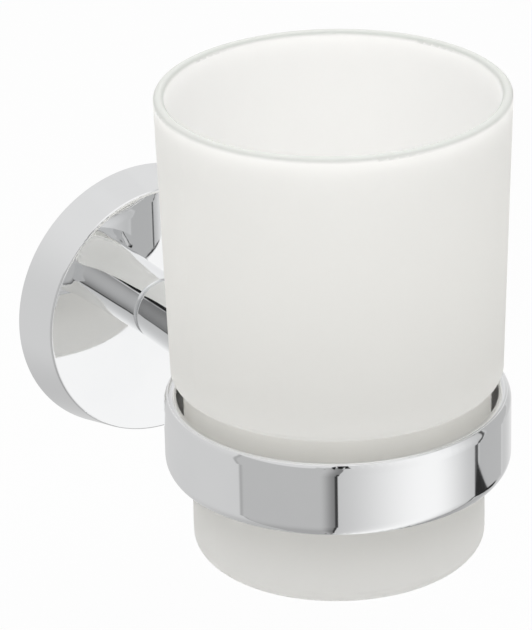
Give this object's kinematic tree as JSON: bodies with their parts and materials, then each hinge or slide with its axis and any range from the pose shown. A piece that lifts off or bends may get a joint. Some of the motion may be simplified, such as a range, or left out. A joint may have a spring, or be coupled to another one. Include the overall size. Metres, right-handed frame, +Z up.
{
  "type": "wall-mounted tumbler holder",
  "caption": "Frosted glass tumbler with a stepped shoulder, standing in a chrome ring on a short round arm that ends in a round wall rosette.",
  "frame": {"origin": "centre of the rosette's back, on the wall, midway between the two wall screws", "axes": "+Z up, +Y into the wall, so the arm and the tumbler stand out along -Y; +X to the right for someone facing the wall"},
  "size_m": [0.0644, 0.1032, 0.0935],
  "materials": {
    "frosted_glass": "acid-frosted, satin, milky",
    "collar_plastic": "translucent moulded plastic",
    "chrome": "polished chrome plate",
    "bracket_steel": "plain zinc-plated",
    "fastener_steel": "zinc-plated"
  },
  "bodies": {
    "holder_body": {"holder_ring": "chrome", "seat_collar": "collar_plastic", "rosette": "chrome", "wall_bracket": "bracket_steel", "arm_stud": "fastener_steel", "lock_washer": "fastener_steel", "stud_nut": "fastener_steel", "grub_screw": "fastener_steel"},
    "tumbler_body": {"tumbler": "frosted_glass"}
  },
  "joints": [
    {"name": "tumbler_lift", "type": "slide", "parent": "holder_body", "child": "tumbler_body", "axis": [0, 0, 1], "range_m": [0, 0.05]}
  ]
}
